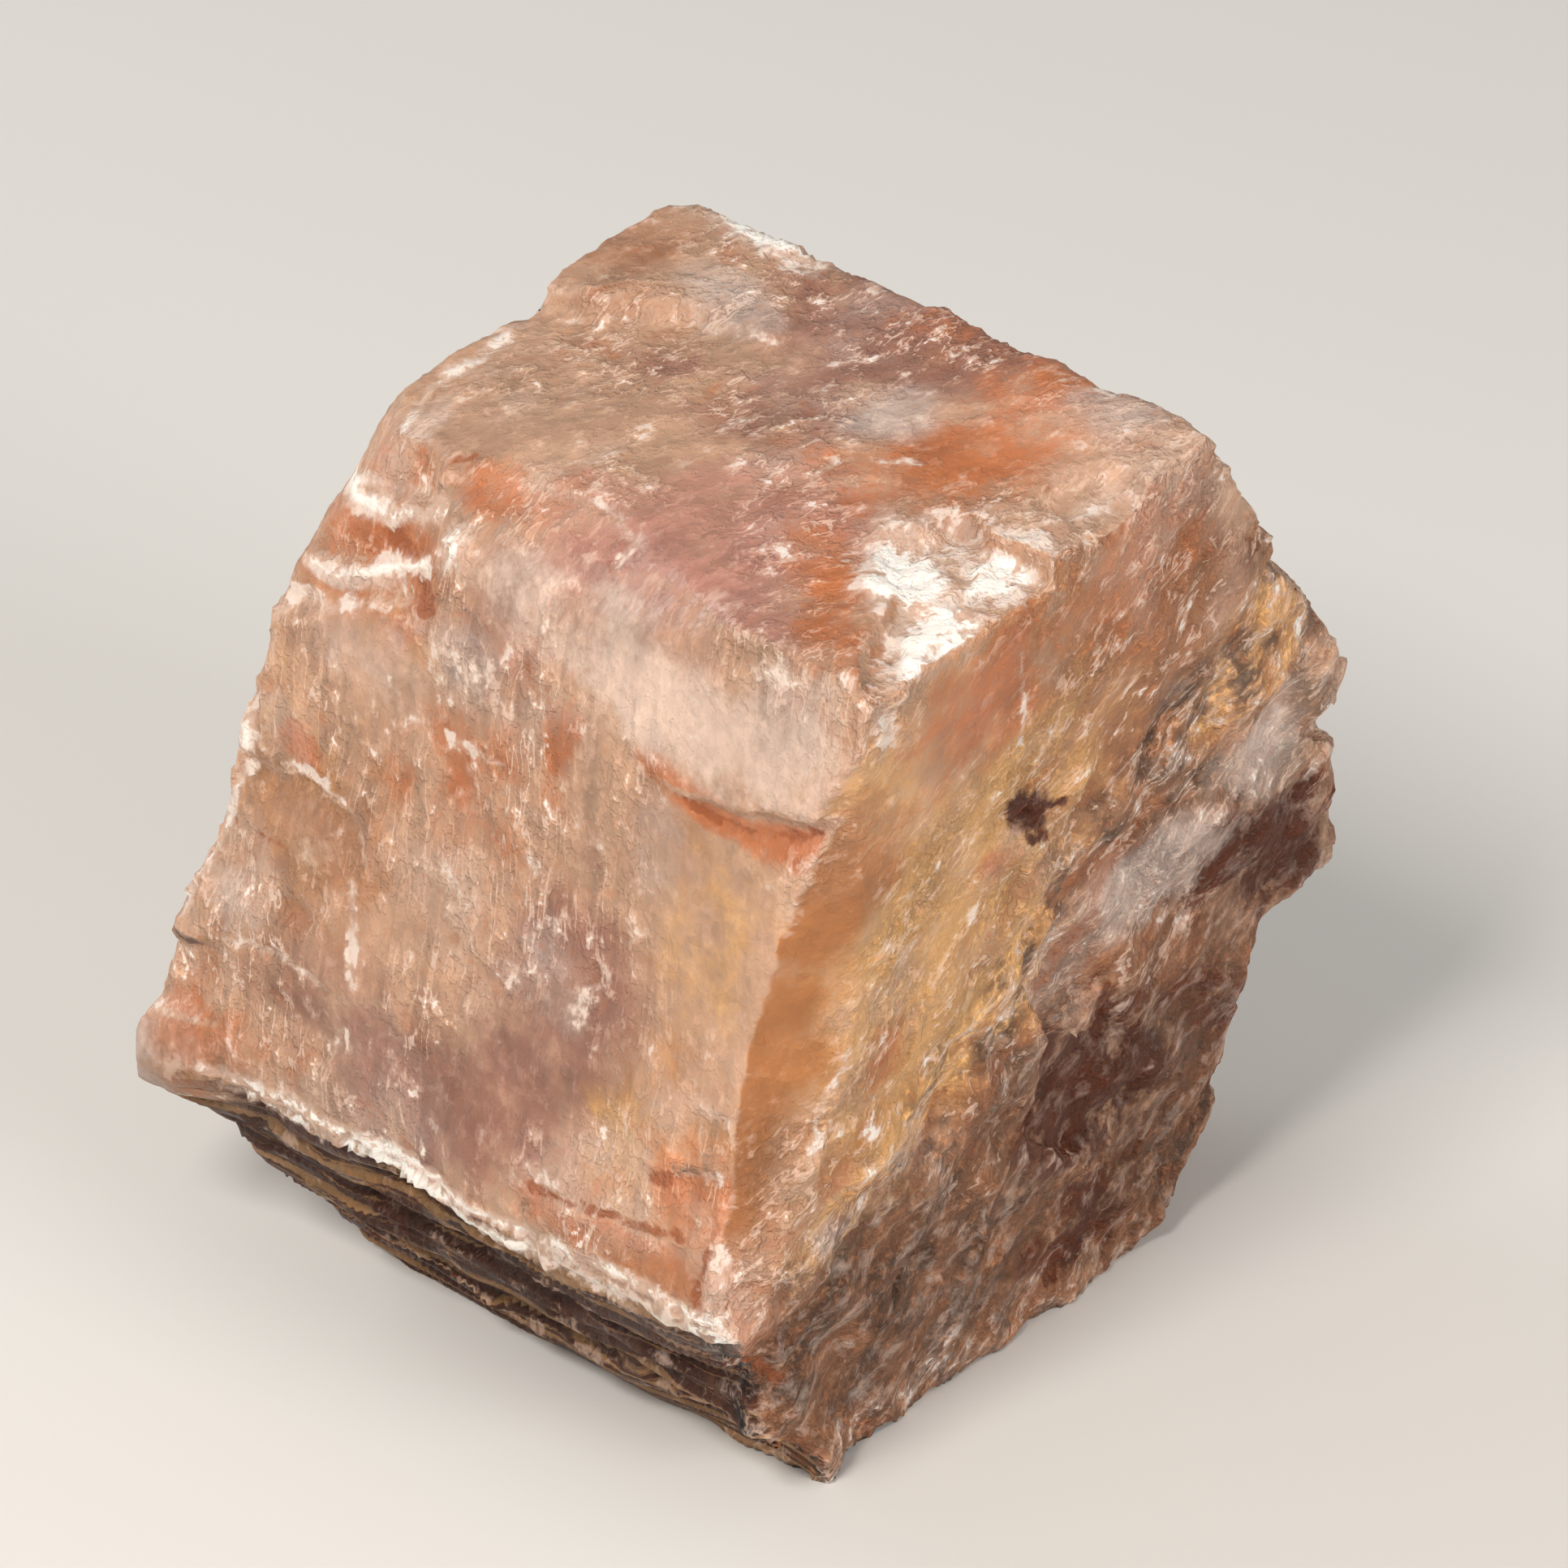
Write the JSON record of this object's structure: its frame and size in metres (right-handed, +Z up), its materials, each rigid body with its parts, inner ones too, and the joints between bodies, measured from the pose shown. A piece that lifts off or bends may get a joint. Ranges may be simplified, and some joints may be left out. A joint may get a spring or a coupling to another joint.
{
  "type": "aragonite specimen",
  "caption": "Broken cleavage block of warm, milky aragonite with skewed flat faces, ledges, chips and a rough rind, resting on a flat underside",
  "frame": {"origin": "on the flat underside that the stone rests on, under the middle of the stone", "axes": "X to the right along the front, Y away from the front edge, Z up out of the resting face"},
  "size_m": [0.0587, 0.0599, 0.051],
  "materials": {
    "aragonite_stone": "milky, warm and translucent carbonate, glossy on its cleavage faces and dull on its rind and crushed chips"
  },
  "bodies": {
    "root": {"aragonite_crystal": "aragonite_stone"}
  },
  "joints": []
}
